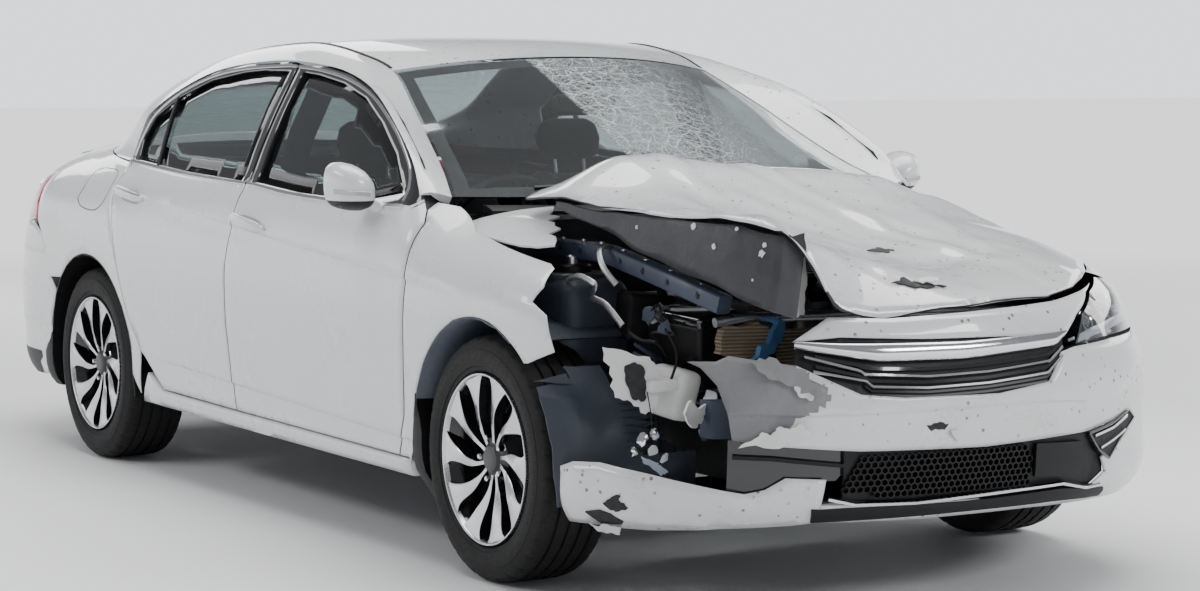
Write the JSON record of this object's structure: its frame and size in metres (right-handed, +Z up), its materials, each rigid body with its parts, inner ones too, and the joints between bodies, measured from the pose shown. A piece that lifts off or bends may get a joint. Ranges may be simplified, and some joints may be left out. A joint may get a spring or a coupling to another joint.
{
  "type": "crash-damaged four-door saloon car",
  "caption": "White four-door saloon with its front right corner torn open and bonnet crumpled; doors and boot open, front wheels steer.",
  "frame": {"origin": "on the ground below the centre of the bounding box", "axes": "-Y towards the nose, +X to the left side of the car, +Z up"},
  "size_m": [2.034, 4.8873, 1.4486],
  "materials": {
    "black_plastic": "dull",
    "bright_trim": "bright",
    "cabin_plastic": "grained",
    "clear_lens": "clear",
    "glazing": "tinted",
    "iron": "raw",
    "liner": "dull",
    "radiator": "dull fins",
    "red_lens": "clear red",
    "rim": "machined",
    "seat_cloth": "woven",
    "shell_steel": "primed",
    "tyre": "worn",
    "white_paint": "glossy white, scratched and dusty",
    "white_plastic": "painted white, scratched"
  },
  "bodies": {
    "shell": {"bonnet": "white_paint", "bonnet_frame": "black_plastic", "bumper_corner": "white_plastic", "dashboard": "cabin_plastic", "engine_block": "iron", "floor_pan": "shell_steel", "front_bumper": "white_plastic", "front_frame": "shell_steel", "front_subframe": "shell_steel", "garnish": "bright_trim", "grille_lower": "black_plastic", "grille_upper": "black_plastic", "headlamp_left": "clear_lens", "liner_front_left": "liner", "liner_front_right": "liner", "liner_rear_left": "liner", "liner_rear_right": "liner", "quarter_left": "white_paint", "quarter_right": "white_paint", "radiator": "radiator", "rear_axle": "iron", "rear_bumper": "white_plastic", "rear_window": "glazing", "roof": "white_paint", "roof_rail_left": "white_paint", "roof_rail_right": "white_paint", "seat_front_left": "seat_cloth", "seat_front_right": "seat_cloth", "seat_rear": "seat_cloth", "side_frame_left": "shell_steel", "side_frame_right": "shell_steel", "sill_left": "white_paint", "sill_right": "white_paint", "tail_lamp_left": "red_lens", "tail_lamp_right": "red_lens", "windscreen": "glazing", "wing_left": "white_paint", "wing_right": "white_paint"},
    "wheel_front_right": {"tyre_front_right": "tyre", "rim_front_right": "rim"},
    "door_front_right": {"door_front_right": "white_paint", "glass_front_right": "glazing", "mirror_right": "white_paint"},
    "wheel_front_left": {"tyre_front_left": "tyre", "rim_front_left": "rim"},
    "door_front_left": {"door_front_left": "white_paint", "glass_front_left": "glazing", "mirror_left": "white_paint"},
    "wheel_rear_right": {"tyre_rear_right": "tyre", "rim_rear_right": "rim"},
    "door_rear_right": {"door_rear_right": "white_paint", "glass_rear_right": "glazing"},
    "wheel_rear_left": {"tyre_rear_left": "tyre", "rim_rear_left": "rim"},
    "door_rear_left": {"door_rear_left": "white_paint", "glass_rear_left": "glazing"},
    "knuckle_right": {"knuckle_right": "iron"},
    "knuckle_left": {"knuckle_left": "iron"},
    "boot_lid": {"boot_lid": "white_paint"},
    "steering_wheel": {"steering_wheel": "cabin_plastic"}
  },
  "joints": [
    {"name": "steer_right", "type": "hinge", "parent": "shell", "child": "knuckle_right", "pos_m": [-0.7375, -1.4635, 0.3285], "axis": [0, 0, 1], "range_deg": [-33, 33]},
    {"name": "steer_left", "type": "hinge", "parent": "shell", "child": "knuckle_left", "pos_m": [0.7375, -1.4635, 0.3285], "axis": [0, 0, 1], "range_deg": [-33, 33]},
    {"name": "steering_wheel_turn", "type": "hinge", "parent": "shell", "child": "steering_wheel", "pos_m": [-0.365, -0.6, 0.86], "axis": [0, 0.9063, 0.4226], "range_deg": [-500, 500]},
    {"name": "spin_front_right", "type": "hinge", "parent": "knuckle_right", "child": "wheel_front_right", "pos_m": [-0.7925, -1.4635, 0.3285], "axis": [1, 0, 0], "continuous": true},
    {"name": "spin_rear_right", "type": "hinge", "parent": "shell", "child": "wheel_rear_right", "pos_m": [-0.7925, 1.3125, 0.3285], "axis": [1, 0, 0], "continuous": true},
    {"name": "spin_front_left", "type": "hinge", "parent": "knuckle_left", "child": "wheel_front_left", "pos_m": [0.7925, -1.4635, 0.3285], "axis": [1, 0, 0], "continuous": true},
    {"name": "spin_rear_left", "type": "hinge", "parent": "shell", "child": "wheel_rear_left", "pos_m": [0.7925, 1.3125, 0.3285], "axis": [1, 0, 0], "continuous": true},
    {"name": "open_front_right", "type": "hinge", "parent": "shell", "child": "door_front_right", "pos_m": [-0.908, -1.005, 0.6], "axis": [0, 0, 1], "range_deg": [0, 65]},
    {"name": "open_front_left", "type": "hinge", "parent": "shell", "child": "door_front_left", "pos_m": [0.908, -1.005, 0.6], "axis": [0, 0, -1], "range_deg": [0, 65]},
    {"name": "open_rear_right", "type": "hinge", "parent": "shell", "child": "door_rear_right", "pos_m": [-0.918, 0.155, 0.6], "axis": [0, 0, 1], "range_deg": [0, 65]},
    {"name": "open_rear_left", "type": "hinge", "parent": "shell", "child": "door_rear_left", "pos_m": [0.918, 0.155, 0.6], "axis": [0, 0, -1], "range_deg": [0, 65]},
    {"name": "open_boot", "type": "hinge", "parent": "shell", "child": "boot_lid", "pos_m": [0, 1.855, 1.03], "axis": [1, 0, 0], "range_deg": [0, 60]}
  ],
  "couplings": [
    {"joint": "steer_left", "follows": "steer_right", "ratio": 1},
    {"joint": "steering_wheel_turn", "follows": "steer_right", "ratio": 15}
  ]
}
